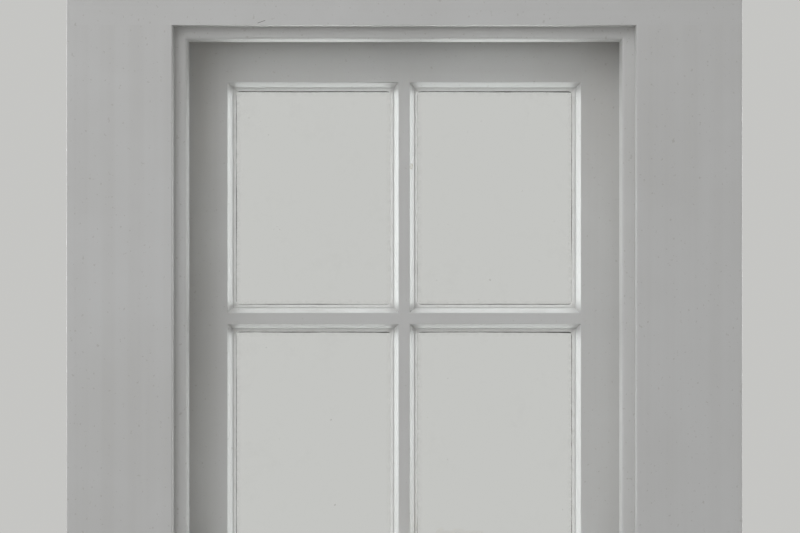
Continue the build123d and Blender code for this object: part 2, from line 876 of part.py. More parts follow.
def make_lift():
    """Right-hand hook lift: a plate on the bottom rail, and a hook that curls over the fingers."""
    hook_z = lower_bottom + lift_height
    wide, high = lift_plate
    low = hook_z - lift_plate_foot
    face = lower_face - lift_plate_thickness
    plate = block((lift_x - wide / 2, lift_x + wide / 2), (face, lower_face), (low, low + high))
    plate = fillet(plate.edges().filter_by(Axis.Y), lift_corner)
    outer = lift_hook_inner + lift_hook_thickness
    centre = (face - outer + lift_hook_bite, hook_z)
    ring = Pos(*centre) * (Circle(outer) - Circle(lift_hook_inner))
    upper_half = Pos(centre[0], centre[1] + outer) * Rectangle(2 * outer, 2 * outer)
    tip = Pos(centre[0] - lift_hook_inner - lift_hook_thickness / 2, centre[1])
    lip = tip * Circle(lift_hook_thickness / 2 + lift_lip_swell)
    arch = (ring & upper_half) + lip
    plane = Plane.YZ.offset(lift_x - lift_hook_width / 2)
    hook = extrude(plane * arch, amount=lift_hook_width)
    return plate + hook


def sash_mass(pieces):
    """Mass of a sash in kilograms, from its own solids."""
    total = 0.0
    for name, shape in pieces.items():
        density = timber_density
        if "glass" in name:
            density = glass_density
        if "putty" in name:
            density = putty_density
        total += shape.volume * density
    return total


def make_running_gear(lower_mass, upper_mass):
    """Weights that balance the sashes, wheels and cords, with a node for each moving piece."""
    highest = pulley_z - flange_radius - weight_headroom
    area = math.pi * weight_diameter**2 / 4
    nodes = {}
    for name, y, mass, weight_top, sash_top in (
        ("lower", lower_y, lower_mass, highest, lower_top),
        ("upper", upper_y, upper_mass, highest - upper_travel, upper_top),
    ):
        length = mass / 2 / (area * iron_density)
        weight = make_weight(y, weight_top, length)
        wheel = make_pulley_wheel(y)
        cord = make_cord(y, sash_top - knot_drop, weight_top - weight_knot_depth)
        nodes[f"weight_{name}_right"] = weight
        nodes[f"weight_{name}_left"] = left_of(weight)
        nodes[f"pulley_wheel_{name}_right"] = wheel
        nodes[f"pulley_wheel_{name}_left"] = left_of(wheel)
        nodes[f"cords_{name}"] = group(cord, left_of(cord))
    return nodes


def make_window():
    nodes = make_frame() | make_trim()
    lower = make_lower_sash()
    upper = make_upper_sash()
    nodes |= lower | upper
    nodes |= make_running_gear(sash_mass(lower), sash_mass(upper))
    base, lever, keeper = make_fastener()
    lift = make_lift()
    nodes |= {
        "fastener_base": base,
        "fastener_lever": lever,
        "fastener_keeper": keeper,
        "sash_lifts": group(lift, left_of(lift)),
    }
    return nodes


os.makedirs("parts", exist_ok=True)
for node, shape in make_window().items():
    export_step(shape, f"parts/{node}.step")
print("lower sash travels", round(lower_travel, 2), "and the upper sash", round(upper_travel, 2))
print("pulleys at x", round(pulley_x, 2), "z", round(pulley_z, 2), "cord pitch", pulley_pitch_radius)
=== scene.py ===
import json
import math

import bmesh
import bpy
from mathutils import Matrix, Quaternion, Vector, noise
from mathutils.bvhtree import BVHTree


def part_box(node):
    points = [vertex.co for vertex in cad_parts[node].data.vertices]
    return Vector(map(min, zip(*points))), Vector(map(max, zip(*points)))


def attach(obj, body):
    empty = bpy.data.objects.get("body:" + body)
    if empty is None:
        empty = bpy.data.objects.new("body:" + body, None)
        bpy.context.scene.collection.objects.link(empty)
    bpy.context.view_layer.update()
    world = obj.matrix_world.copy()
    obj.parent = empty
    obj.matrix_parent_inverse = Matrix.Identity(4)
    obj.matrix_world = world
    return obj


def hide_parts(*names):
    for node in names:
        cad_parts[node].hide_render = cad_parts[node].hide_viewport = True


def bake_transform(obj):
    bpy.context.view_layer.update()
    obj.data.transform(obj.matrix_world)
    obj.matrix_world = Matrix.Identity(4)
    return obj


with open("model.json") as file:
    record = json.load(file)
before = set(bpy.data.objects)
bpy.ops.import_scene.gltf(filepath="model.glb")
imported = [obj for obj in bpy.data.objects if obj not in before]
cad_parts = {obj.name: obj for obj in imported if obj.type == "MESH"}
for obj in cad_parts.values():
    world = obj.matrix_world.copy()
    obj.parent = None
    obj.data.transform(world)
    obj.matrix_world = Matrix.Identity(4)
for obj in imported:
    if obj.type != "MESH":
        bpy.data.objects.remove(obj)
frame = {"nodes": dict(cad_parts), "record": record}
nodes = frame["nodes"]
bodies = frame["record"]["behaviour"]["bodies"]
bodyOf = {node: body for body, members in bodies.items() for node in members}
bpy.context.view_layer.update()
scene = bpy.context.scene


# selecting and editing

def dropSelection():
    if bpy.context.object and bpy.context.object.mode != "OBJECT":
        bpy.ops.object.mode_set(mode="OBJECT")
    bpy.ops.object.select_all(action="DESELECT")


def pickOnly(piece):
    dropSelection()
    piece.select_set(True)
    bpy.context.view_layer.objects.active = piece


def openMesh(piece, kind="FACE"):
    pickOnly(piece)
    bpy.ops.object.mode_set(mode="EDIT")
    bpy.ops.mesh.select_mode(type=kind)


def choose(piece, what, wanted):
    mesh = bmesh.from_edit_mesh(piece.data)
    for item in getattr(mesh, what):
        item.select = False
    mesh.select_flush(False)
    for item in getattr(mesh, what):
        if wanted(item):
            item.select_set(True)
    bmesh.update_edit_mesh(piece.data)


def closeMesh():
    bpy.ops.object.mode_set(mode="OBJECT")


def applyModifiers(piece):
    pickOnly(piece)
    for modifier in list(piece.modifiers):
        bpy.ops.object.modifier_apply(modifier=modifier.name)


def settle(piece):
    pickOnly(piece)
    bpy.ops.object.transform_apply(location=True, rotation=True, scale=True)


def joined(made, name):
    dropSelection()
    for piece in made:
        piece.select_set(True)
    bpy.context.view_layer.objects.active = made[0]
    bpy.ops.object.join()
    whole = bpy.context.object
    whole.name = name
    settle(whole)
    return whole


def smoothByAngle(piece, degrees):
    pickOnly(piece)
    bpy.ops.object.shade_smooth_by_angle(angle=math.radians(degrees))


def evenNormals(piece, degrees):
    smoothByAngle(piece, degrees)
    even = piece.modifiers.new("even", "WEIGHTED_NORMAL")
    even.keep_sharp = True
    applyModifiers(piece)


edging = {"sharpDegrees": 40, "segments": 2, "smoothDegrees": 32}


def breakEdges(piece, width):
    bevel = piece.modifiers.new("edge", "BEVEL")
    bevel.limit_method = "ANGLE"
    bevel.angle_limit = math.radians(edging["sharpDegrees"])
    bevel.width = width
    bevel.segments = edging["segments"]
    applyModifiers(piece)


def finishWith(piece, *finishes):
    piece.data.materials.clear()
    for finish in finishes:
        piece.data.materials.append(finish)


copying = {"merge": 0.000004, "flatDegrees": 0.3}     # metres between points taken as one


def copyOfNode(node, name):
    piece = bpy.data.objects.new(name, nodes[node].data.copy())
    scene.collection.objects.link(piece)
    openMesh(piece, "VERT")
    bpy.ops.mesh.select_all(action="SELECT")
    bpy.ops.mesh.customdata_custom_splitnormals_clear()
    bpy.ops.mesh.remove_doubles(threshold=copying["merge"])
    bpy.ops.mesh.dissolve_limited(angle_limit=math.radians(copying["flatDegrees"]), delimit=set())
    closeMesh()
    return piece


def standFor(piece, node):
    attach(piece, bodyOf[node])
    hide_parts(node)


dropSelection()


# shader maths written as sums

class Wire:
    def __init__(self, finish, socket):
        self.finish = finish
        self.socket = socket

    def work(self, operation, *values):
        return self.finish.add("ShaderNodeMath", {"operation": operation}, dict(enumerate(values)))

    def __add__(self, other):
        return self.work("ADD", self, other)

    def __radd__(self, other):
        return self.work("ADD", other, self)

    def __sub__(self, other):
        return self.work("SUBTRACT", self, other)

    def __rsub__(self, other):
        return self.work("SUBTRACT", other, self)

    def __mul__(self, other):
        return self.work("MULTIPLY", self, other)

    def __rmul__(self, other):
        return self.work("MULTIPLY", other, self)

    def __lt__(self, other):
        return self.work("LESS_THAN", self, other)

    def size(self):
        return self.work("ABSOLUTE", self)

    def wave(self):
        return self.work("SINE", self)

    def least(self, other):
        return self.work("MINIMUM", self, other)

    def most(self, other):
        return self.work("MAXIMUM", self, other)

    def power(self, other):
        return self.work("POWER", self, other)

    def spread(self, low, high):
        return self.finish.add(
            "ShaderNodeMapRange", {"clamp": True, "interpolation_type": "SMOOTHSTEP"},
            {0: self, 1: low, 2: high, 3: 0.0, 4: 1.0},
        )


class Finish:
    def __init__(self, name, tree=None):
        self.material = None
        if tree is None:
            self.material = bpy.data.materials.new(name)
            self.material.use_nodes = True
            tree = self.material.node_tree
        self.tree = tree

    def add(self, kind, settings=None, sockets=None, output=0):
        node = self.tree.nodes.new(kind)
        for key, value in (settings or {}).items():
            setattr(node, key, value)
        for key, value in (sockets or {}).items():
            self.plug(node.inputs[key], value)
        return Wire(self, node.outputs[output])

    def plug(self, socket, value):
        if isinstance(value, Wire):
            self.tree.links.new(value.socket, socket)
        elif isinstance(value, tuple) and len(value) == 3 and socket.type == "RGBA":
            socket.default_value = (*value, 1)
        else:
            socket.default_value = value

    def place(self):
        return self.add("ShaderNodeTexCoord", None, None, "Object")

    def stretched(self, vector, factors):
        return self.add("ShaderNodeVectorMath", {"operation": "MULTIPLY"}, {0: vector, 1: factors})

    def part(self, vector, axis):
        return self.add("ShaderNodeSeparateXYZ", None, {0: vector}, axis)

    def noise(self, vector, scale, detail, roughness=0.55, distortion=0.0):
        return self.add(
            "ShaderNodeTexNoise", None,
            {"Vector": vector, "Scale": scale, "Detail": detail, "Roughness": roughness,
             "Distortion": distortion}, "Fac",
        )

    def mixed(self, mask, first, second):
        return self.add("ShaderNodeMix", {"data_type": "RGBA"}, {0: mask, 6: first, 7: second}, 2)

    def bump(self, height, depth, strength, under=None):
        sockets = {"Height": height, "Distance": depth, "Strength": strength}
        if under is not None:
            sockets["Normal"] = under
        return self.add("ShaderNodeBump", None, sockets, "Normal")

    def surface(self, sockets):
        shader = self.tree.nodes["Principled BSDF"]
        for key, value in sockets.items():
            self.plug(shader.inputs[key], value)
        return self.material


# finishes

paintLook = {
    "colour": (0.72, 0.72, 0.712),
    "thin": (0.655, 0.65, 0.635),
    "dust": (0.36, 0.335, 0.29),
    "undercoat": (0.50, 0.46, 0.39),
    "wood": (0.23, 0.135, 0.065),
    "bristles": 620.0,        # brush hairs in a metre across the stroke
    "strokeLength": 9.0,
    "lapScale": 0.11,         # laps of the brush against its hairs
    "clouds": 5.0,
    "sags": 38.0,
    "specks": 260.0,
    "ledgeDust": 34.0,
    "chips": 95.0,
    "chipEdge": 0.72,         # the noise has to be over this to chip the paint
    "runs": (90.0, 90.0, 7.0),
    "grain": (9.0, 420.0, 420.0),
    "brushDepth": 0.00012,
    "sagDepth": 0.00005,
    "roughness": 0.40,
}
paintMarks = {                # the chip on the bar's moulding, and the crack in the head casing
    "chip": {"x": 0.0078, "z": 1.0880, "halfWide": 0.0016, "halfTall": 0.0030, "crumbs": 700.0},
    "crack": {"x": -0.1480, "halfLong": 0.0040, "fromX": -0.1475, "fromZ": 1.2335, "slope": 0.35,
              "edge": (0.00045, 0.00015), "front": -0.094, "colour": (0.09, 0.08, 0.07)},
}


def paintFinish(name, along, weather=0.0, worn=0.0, marks=False):
    look = paintLook
    finish = Finish(name)
    place = finish.place()
    normal = finish.add("ShaderNodeNewGeometry", None, None, "Normal")
    up = finish.part(normal, "Z")
    x, y, z = (finish.part(place, axis) for axis in "XYZ")
    factors = [look["bristles"]] * 3
    factors["XYZ".index(along)] = look["strokeLength"]
    hairs = finish.noise(finish.stretched(place, tuple(factors)), 1.0, 3.0, 0.6)
    lapFactors = tuple(factor * look["lapScale"] for factor in factors)
    laps = finish.noise(finish.stretched(place, lapFactors), 1.0, 2.0)
    clouds = finish.noise(place, look["clouds"], 4.0, 0.6)
    sags = finish.noise(place, look["sags"], 2.0, 0.5)

    tone = (clouds.spread(0.35, 0.68) * 0.55 + laps.spread(0.35, 0.7) * 0.3).least(1.0)
    colour = finish.mixed(tone, look["colour"], look["thin"])
    specks = finish.noise(place, look["specks"], 2.0, 0.5).spread(0.66, 0.74)
    colour = finish.mixed(specks * 0.28, colour, look["dust"])
    settled = finish.noise(place, look["ledgeDust"], 5.0, 0.65).spread(0.3, 0.8)
    ledge = up.spread(0.35, 0.9) * settled
    colour = finish.mixed(ledge * (0.20 + 0.12 * weather), colour, look["dust"])
    rough = look["roughness"] + 0.22 * weather + 0.10 * tone + 0.25 * ledge

    height = hairs
    if worn or weather:
        chipNoise = finish.noise(place, look["chips"], 5.0, 0.65, 0.4)
        edge = look["chipEdge"] - 0.07 * worn - 0.05 * weather
        chips = chipNoise.spread(edge, edge + 0.012)
        core = chipNoise.spread(edge + 0.03, edge + 0.045)
        colour = finish.mixed(chips, colour, look["undercoat"])
        colour = finish.mixed(core, colour, look["wood"])
        height = height - 1.5 * chips
        rough = rough + 0.3 * chips
    if weather:
        runs = finish.noise(finish.stretched(place, look["runs"]), 1.0, 3.0, 0.6).spread(0.45, 0.75)
        grain = finish.noise(finish.stretched(place, look["grain"]), 1.0, 3.0, 0.6)
        colour = finish.mixed(runs * 0.30 * weather, colour, look["dust"])
        crazing = grain.spread(0.60, 0.68) * weather * up.spread(0.2, 0.9)
        colour = finish.mixed(crazing * 0.55, colour, look["wood"])
        height = height - 0.9 * crazing
    if marks:
        chip, crack = paintMarks["chip"], paintMarks["crack"]
        chipSpot = (x - chip["x"]).size() < chip["halfWide"]
        chipSpot = chipSpot * ((z - chip["z"]).size() < chip["halfTall"])
        chipSpot = chipSpot * finish.noise(place, chip["crumbs"], 2.0).spread(0.42, 0.5)
        colour = finish.mixed(chipSpot, colour, look["undercoat"])
        crackLine = z - crack["fromZ"] - crack["slope"] * (x - crack["fromX"])
        crackLine = crackLine.size().spread(*crack["edge"])
        crackLine = crackLine * ((x - crack["x"]).size() < crack["halfLong"]) * (y < crack["front"])
        colour = finish.mixed(crackLine * 0.8, colour, crack["colour"])
        height = height - 1.5 * (chipSpot + crackLine)
    relief = finish.bump(height, look["brushDepth"], 0.5)
    relief = finish.bump(sags, look["sagDepth"], 0.35, relief)
    return finish.surface({"Base Color": colour, "Roughness": rough, "Normal": relief, "IOR": 1.5})


pineLook = {
    "early": (0.46, 0.355, 0.235),
    "late": (0.29, 0.19, 0.105),
    "grey": (0.29, 0.26, 0.22),
    "heart": (0.11, 0.16, 0.09),
    "rings": 260.0,
    "ringRun": 0.045,         # the rings run nearly with the board
    "drift": (5.0, 1.1),      # across the board and along it
    "driftReach": 0.022,
    "pores": (900.0, 14.0),
    "sawMarks": (9.0, 520.0),
    "relief": 0.00022,
}


def pineFinish(name, along):
    look = pineLook
    finish = Finish(name)
    place = finish.place()

    def factors(across, lengthwise):
        return tuple(lengthwise if axis == along else across for axis in "XYZ")

    drift = finish.noise(finish.stretched(place, factors(*look["drift"])), 1.0, 2.0, 0.4)
    heart = finish.add("ShaderNodeVectorMath", {"operation": "ADD"}, {0: place, 1: look["heart"]})
    rings = finish.add("ShaderNodeVectorMath", {"operation": "LENGTH"},
                       {0: finish.stretched(heart, factors(1.0, look["ringRun"]))}, "Value")
    turns = (rings + look["driftReach"] * drift) * (look["rings"] * 2 * math.pi)
    bands = turns.wave() * 0.5 + 0.5
    pores = finish.noise(finish.stretched(place, factors(*look["pores"])), 1.0, 2.0, 0.6)
    sawn = finish.noise(finish.stretched(place, factors(*look["sawMarks"])), 1.0, 1.0)
    clouds = finish.noise(place, 9.0, 4.0, 0.65)
    colour = finish.mixed(bands.power(2.2) * 0.75, look["early"], look["late"])
    colour = finish.mixed(pores.spread(0.42, 0.72) * 0.45, colour, look["late"])
    colour = finish.mixed(clouds.spread(0.42, 0.72) * 0.6, colour, look["grey"])
    relief = finish.bump(0.5 * pores + 0.5 * sawn + 0.35 * bands, look["relief"], 0.7)
    rough = 0.68 + 0.14 * pores
    return finish.surface({"Base Color": colour, "Roughness": rough, "Normal": relief, "IOR": 1.45})


puttyLook = {"colour": (0.72, 0.715, 0.70), "smear": (0.60, 0.59, 0.56), "smears": 120.0,
             "drags": (300.0, 300.0, 300.0), "relief": 0.0003}
# the bedding colours are near black: some dirt, darkened much further as painted shade for the
# unlit putty edge seen through the glass
beddingDirtAndShadeLook = {"dark": (0.030, 0.028, 0.025), "pale": (0.085, 0.08, 0.07), "crumbs": 500.0,
               "relief": 0.0003}


def beddingDirtAndShadeFinish():
    look = beddingDirtAndShadeLook
    finish = Finish("darkBeddingDirtAndShade")
    crumbs = finish.noise(finish.place(), look["crumbs"], 4.0, 0.7)
    colour = finish.mixed(crumbs, look["dark"], look["pale"])
    relief = finish.bump(crumbs, look["relief"], 0.6)
    return finish.surface({"Base Color": colour, "Roughness": 0.8 + 0.1 * crumbs, "Normal": relief})


def puttyFinish():
    look = puttyLook
    finish = Finish("oilPutty")
    place = finish.place()
    smears = finish.noise(place, look["smears"], 4.0, 0.65)
    drags = finish.noise(finish.stretched(place, look["drags"]), 1.0, 2.0)
    colour = finish.mixed(smears.spread(0.45, 0.72) * 0.5, look["colour"], look["smear"])
    relief = finish.bump(0.7 * smears + 0.3 * drags, look["relief"], 0.5)
    rough = 0.5 + 0.15 * smears
    return finish.surface({"Base Color": colour, "Roughness": rough, "Normal": relief})


glassLook = {
    "tint": (0.985, 0.995, 0.988),
    "film": (0.62, 0.61, 0.57),
    "shade": (0.93, 0.95, 0.94),
    "dirt": 22.0,
    "seeds": 330.0,
    "grime": 190.0,
    "grimeShare": 0.16,
    "specks": ((0.0930, 0.9654, 0.0008), (0.1277, 1.0618, 0.0006),     # x, z and radius
               (-0.0749, 0.7216, 0.0009), (-0.0793, 0.8137, 0.0007)),
}


def glassFinish():
    look = glassLook
    finish = Finish("oldGlass")
    place = finish.place()
    dirt = finish.noise(place, look["dirt"], 5.0, 0.7).spread(0.5, 0.8) * 0.035
    seeds = finish.noise(place, look["seeds"], 1.0, 0.4).spread(0.80, 0.82) * 0.5
    edgeFilm = finish.add("ShaderNodeAttribute", {"attribute_name": "edgeFilm"}, None, "Fac")
    grime = edgeFilm * finish.noise(place, look["grime"], 4.0, 0.7).spread(0.25, 0.75)
    x, z = finish.part(place, "X"), finish.part(place, "Z")
    for spotX, spotZ, radius in look["specks"]:
        away = (x - spotX).size() + (z - spotZ).size()
        seeds = seeds.most((away < radius) * 0.9)
    shader = finish.tree.nodes["Principled BSDF"]
    finish.surface({"Base Color": look["tint"], "Roughness": 0.0, "IOR": 1.5,
                    "Transmission Weight": 1.0})
    film = finish.add("ShaderNodeBsdfDiffuse", None, {"Color": look["film"], "Roughness": 0.5})
    clear = finish.add("ShaderNodeBsdfTransparent", None, {"Color": look["shade"]})
    shadow = finish.add("ShaderNodeLightPath", None, None, "Is Shadow Ray")
    glass = Wire(finish, shader.outputs[0])
    pane = finish.add("ShaderNodeMixShader", None, {0: shadow, 1: glass, 2: clear})
    mask = (dirt + seeds + look["grimeShare"] * grime).least(1.0)
    whole = finish.add("ShaderNodeMixShader", None, {0: mask, 1: pane, 2: film})
    finish.plug(finish.tree.nodes["Material Output"].inputs["Surface"], whole)
    return finish.material


brassLook = {
    "bright": (0.56, 0.43, 0.215),
    "dull": (0.30, 0.205, 0.105),
    "black": (0.055, 0.042, 0.03),
    "clouds": 70.0,
    "spots": 420.0,
    "scratches": (1500.0, 1500.0, 90.0),
    "relief": 0.00004,
}


def brassFinish(name, tarnish):
    look = brassLook
    finish = Finish(name)
    place = finish.place()
    clouds = finish.noise(place, look["clouds"], 5.0, 0.65)
    spots = finish.noise(place, look["spots"], 4.0, 0.7)
    scratches = finish.noise(finish.stretched(place, look["scratches"]), 1.0, 2.0)
    dull = clouds.spread(0.62 - 0.35 * tarnish, 0.85 - 0.25 * tarnish)
    black = spots.spread(0.66 - 0.08 * tarnish, 0.78)
    colour = finish.mixed(dull * 0.85, look["bright"], look["dull"])
    colour = finish.mixed(black * 0.7, colour, look["black"])
    rough = 0.24 + 0.22 * dull + 0.25 * black + 0.10 * scratches
    relief = finish.bump(scratches + black, look["relief"], 0.5)
    return finish.surface({"Base Color": colour, "Metallic": 1.0, "Roughness": rough,
                           "Normal": relief})


ironLook = {
    "skin": (0.060, 0.058, 0.056),
    "rust": (0.20, 0.075, 0.03),
    "dust": (0.30, 0.26, 0.21),
    "sand": 900.0,
    "patches": 45.0,
    "relief": 0.0005,
}


def ironFinish():
    look = ironLook
    finish = Finish("castIron")
    place = finish.place()
    sand = finish.noise(place, look["sand"], 4.0, 0.7)
    patches = finish.noise(place, look["patches"], 5.0, 0.7)
    rust = patches.spread(0.48, 0.66)
    colour = finish.mixed(rust, look["skin"], look["rust"])
    colour = finish.mixed(sand.spread(0.62, 0.8) * 0.4, colour, look["dust"])
    relief = finish.bump(sand + 0.6 * patches, look["relief"], 0.7)
    return finish.surface({"Base Color": colour, "Metallic": 0.75 - 0.6 * rust,
                           "Roughness": 0.62 + 0.2 * sand, "Normal": relief})


steelLook = {"bright": (0.50, 0.49, 0.47), "film": (0.16, 0.12, 0.09), "filmScale": 130.0,
             "turned": (60.0, 2600.0, 60.0), "relief": 0.00003}


def steelFinish():
    look = steelLook
    finish = Finish("axleSteel")
    place = finish.place()
    turned = finish.noise(finish.stretched(place, look["turned"]), 1.0, 2.0)
    film = finish.noise(place, look["filmScale"], 4.0, 0.7).spread(0.5, 0.75)
    colour = finish.mixed(film, look["bright"], look["film"])
    relief = finish.bump(turned, look["relief"], 0.5)
    return finish.surface({"Base Color": colour, "Metallic": 1.0, "Roughness": 0.3 + 0.3 * film,
                           "Normal": relief})


cordLook = {
    "clean": (0.64, 0.60, 0.51),
    "soiledAndGrooveShade": (0.33, 0.285, 0.215),
    "strands": 8,
    "pitch": 0.0135,          # metres for one turn of the plait
    "soil": 32.0,
    "relief": 0.0006,
}


def cordFinish():
    look = cordLook
    finish = Finish("cottonCord")
    flat = finish.add("ShaderNodeTexCoord", None, None, "UV")
    around, along = finish.part(flat, "X"), finish.part(flat, "Y")
    turns = around * (2 * math.pi * look["strands"] / 2)
    rise = along * (2 * math.pi / look["pitch"] * look["strands"] / 2)
    plait = (turns + rise).wave() * (turns - rise).wave()
    threads = (4.0 * turns + 0.35 * rise).wave()
    soil = finish.noise(finish.place(), look["soil"], 4.0, 0.65).spread(0.4, 0.75)
    colour = finish.mixed(soil * 0.8, look["clean"], look["soiledAndGrooveShade"])
    # the low parts of the plait take the darker colour: painted shade in the grooves between the
    # strands
    colour = finish.mixed(plait.spread(0.0, -0.6) * 0.35, colour, look["soiledAndGrooveShade"])
    relief = finish.bump(plait + 0.2 * threads, look["relief"], 0.8)
    return finish.surface({"Base Color": colour, "Roughness": 0.9, "Normal": relief,
                           "Sheen Weight": 0.3})


paint = {axis: paintFinish("offWhitePaint" + axis, axis) for axis in "XZ"}
marked = {axis: paintFinish("markedPaint" + axis, axis, marks=True) for axis in "XZ"}
worn = {axis: paintFinish("rubbedPaint" + axis, axis, worn=1.0) for axis in "XZ"}
outside = {axis: paintFinish("weatheredPaint" + axis, axis, weather=1.0) for axis in "XZ"}
pine = {axis: pineFinish("barePine" + axis, axis) for axis in "XZ"}
puttyPaint = puttyFinish()
beddingDirtAndShade = beddingDirtAndShadeFinish()
oldGlass = glassFinish()
fittingBrass = brassFinish("handledBrass", 0.45)
gearBrass = brassFinish("boxBrass", 0.95)
castIron = ironFinish()
axleSteel = steelFinish()
cottonCord = cordFinish()
print("finishes made")


# timber with softened arrises

timber = {
    "frameArris": 0.0009,     # metres taken off an exposed edge
    "sashArris": 0.00045,
    "segments": 3,
    "sharpDegrees": 28.0,
    "smoothDegrees": 32,
    "near": 0.001,            # members nearer than this are looked at for joints
    "seamGap": 0.00006,       # an edge nearer than this to another member stays tight
    "shortest": 2.5,          # edges shorter than this many arrises stay sharp
    "inLine": 0.9,
    "stopShort": 1.5,         # arrises between the end of a softened edge and the joint it meets
    "marked": ("upper_vertical_bar", "casing_head"),
    "rubbed": ("lower_bottom_rail", "lower_meeting_rail", "stool"),     # where hands go
    "cut": {                  # where a lining leaves the painted opening: a point and a direction
        "outer_lining_left": ((-0.2400, 0, 0), (1, 0, 0)),
        "outer_lining_right": ((0.2400, 0, 0), (1, 0, 0)),
        "outer_lining_head": ((0, 0, 1.2520), (0, 0, 1)),
    },
}

frameAcross = ["sill", "frame_head", "inner_lining_head", "outer_lining_head",
               "parting_bead_head", "staff_bead_head", "casing_head", "stool", "apron"]
pairs = ("pulley_stile", "inner_lining", "outer_lining", "parting_bead", "staff_bead", "casing")
frameUpright = [part + side for part in pairs for side in ("_left", "_right")]
frameUpright.append("pocket_pieces")
boxBare = ["back_lining_left", "back_lining_right", "parting_slips"]
sashAcross = ["lower_bottom_rail", "lower_meeting_rail", "lower_cross_bar_left",
              "lower_cross_bar_right", "upper_top_rail", "upper_meeting_rail",
              "upper_cross_bar_left", "upper_cross_bar_right"]
sashUpright = ["lower_stile_left", "lower_stile_right", "lower_vertical_bar",
               "upper_stile_left", "upper_stile_right", "upper_vertical_bar"]
allTimber = frameAcross + frameUpright + boxBare + sashAcross + sashUpright


def neighbourTree(node):
    points, faces = [], []
    lowest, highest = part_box(node)
    near = timber["near"]
    for other in allTimber:
        low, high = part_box(other)
        apart = any(low[i] > highest[i] + near or high[i] < lowest[i] - near for i in range(3))
        if other == node or apart or bodyOf[other] != bodyOf[node]:
            continue
        first = len(points)
        points += [vertex.co.copy() for vertex in nodes[other].data.vertices]
        faces += [[first + v for v in face.vertices] for face in nodes[other].data.polygons]
    return BVHTree.FromPolygons(points, faces) if faces else None


# which faces have no paint, and which are weathered: metres from the middle, in depth and in height

unpainted = {
    "square": 0.9,            # how nearly a face looks along an axis to count as facing it
    "boxWide": (0.2615, 0.3125),
    "boxDeep": (-0.0560, 0.0440),
    "boxSide": (0.3195, 0.3205),
    "wallFace": (-0.0780, -0.0750),
    "wallFrom": 0.2385,
    "trimBack": -0.07,
    "tops": ((1.2515, 1.2525), (1.2895, 1.2905)),
    "aboveHead": 1.2521,
    "headDeep": (-0.0750, 0.0630),
    "underside": 0.001,
}
outdoors = {"from": 0.0430, "backFrom": 0.02, "turned": 0.5}


def within(value, limits):
    return limits[0] < value < limits[1]


def hiddenInWall(centre, normal):
    x, y, z = abs(centre.x), centre.y, centre.z
    square = unpainted["square"]
    inBox = within(x, unpainted["boxWide"]) and within(y, unpainted["boxDeep"])
    boxSide = within(x, unpainted["boxSide"]) and abs(normal.x) > square
    onWall = within(y, unpainted["wallFace"]) and abs(normal.y) > square
    onWall = onWall and x > unpainted["wallFrom"]
    trimBack = y < unpainted["trimBack"] and normal.y > square
    frameTop = normal.z > square and any(within(z, top) for top in unpainted["tops"])
    aboveHead = z > unpainted["aboveHead"] and within(y, unpainted["headDeep"])
    underside = normal.z < -square and z < unpainted["underside"]
    return any((inBox, boxSide, onWall, trimBack, frameTop, aboveHead, underside))


def facesOutdoors(centre, normal, body):
    turned = normal.y > outdoors["turned"]
    behind = turned and (centre.y > outdoors["backFrom"] or body == "lower_sash")
    return centre.y > outdoors["from"] or behind


def finishTimber(piece, node, along, bare):
    front = marked if node in timber["marked"] else worn if node in timber["rubbed"] else paint
    finishWith(piece, front[along], pine[along], outside[along])
    for face in piece.data.polygons:
        face.material_index = 0
        if bare or hiddenInWall(face.center, face.normal):
            face.material_index = 1
        elif facesOutdoors(face.center, face.normal, bodyOf[node]):
            face.material_index = 2


def runOf(edge):
    return (edge.verts[1].co - edge.verts[0].co).normalized()


def markArrises(piece, tree, arris):
    edged = bmesh.new()
    edged.from_mesh(piece.data)
    weights = edged.edges.layers.float.new("bevel_weight_edge")
    sharp = math.radians(timber["sharpDegrees"])
    soften, seams = [], set()
    for edge in edged.edges:
        if len(edge.link_faces) != 2 or edge.calc_face_angle_signed(0) < sharp:
            continue
        middle = (edge.verts[0].co + edge.verts[1].co) / 2
        if tree and tree.find_nearest(middle, timber["seamGap"])[0] is not None:
            seams.add(edge)
        elif edge.calc_length() > timber["shortest"] * arris:
            soften.append(edge)
    for edge in soften:
        run = runOf(edge)
        ends = [end for end in edge.verts for other in end.link_edges
                if other in seams and abs(run.dot(runOf(other))) > timber["inLine"]]
        for end in ends:
            far = edge.other_vert(end)
            share = timber["stopShort"] * arris / edge.calc_length()
            corner = bmesh.utils.edge_split(edge, end, share)[1]
            edge = next(part for part in corner.link_edges if part.other_vert(corner) == far)
        edge[weights] = 1.0
    edged.to_mesh(piece.data)
    edged.free()


def softTimber(node, along, arris, bare):
    piece = copyOfNode(node, node + "_timber")
    if node in timber["cut"]:
        point, across = timber["cut"][node]
        openMesh(piece)
        bpy.ops.mesh.select_all(action="SELECT")
        bpy.ops.mesh.bisect(plane_co=point, plane_no=across)
        closeMesh()
    finishTimber(piece, node, along, bare)
    markArrises(piece, neighbourTree(node), arris)
    bevel = piece.modifiers.new("arris", "BEVEL")
    bevel.limit_method = "WEIGHT"
    bevel.width = arris
    bevel.segments = timber["segments"]
    bevel.use_clamp_overlap = True
    bevel.miter_outer = "MITER_SHARP"
    applyModifiers(piece)
    evenNormals(piece, timber["smoothDegrees"])
    standFor(piece, node)


for names, along, arris, bare in ((frameAcross, "X", timber["frameArris"], False),
                                  (frameUpright, "Z", timber["frameArris"], False),
                                  (boxBare, "Z", timber["frameArris"], True),
                                  (sashAcross, "X", timber["sashArris"], False),
                                  (sashUpright, "Z", timber["sashArris"], False)):
    for node in names:
        softTimber(node, along, arris, bare)
print("timber softened", len(allTimber), "members")


# panes of old glass, and the putty that a hand has run round them

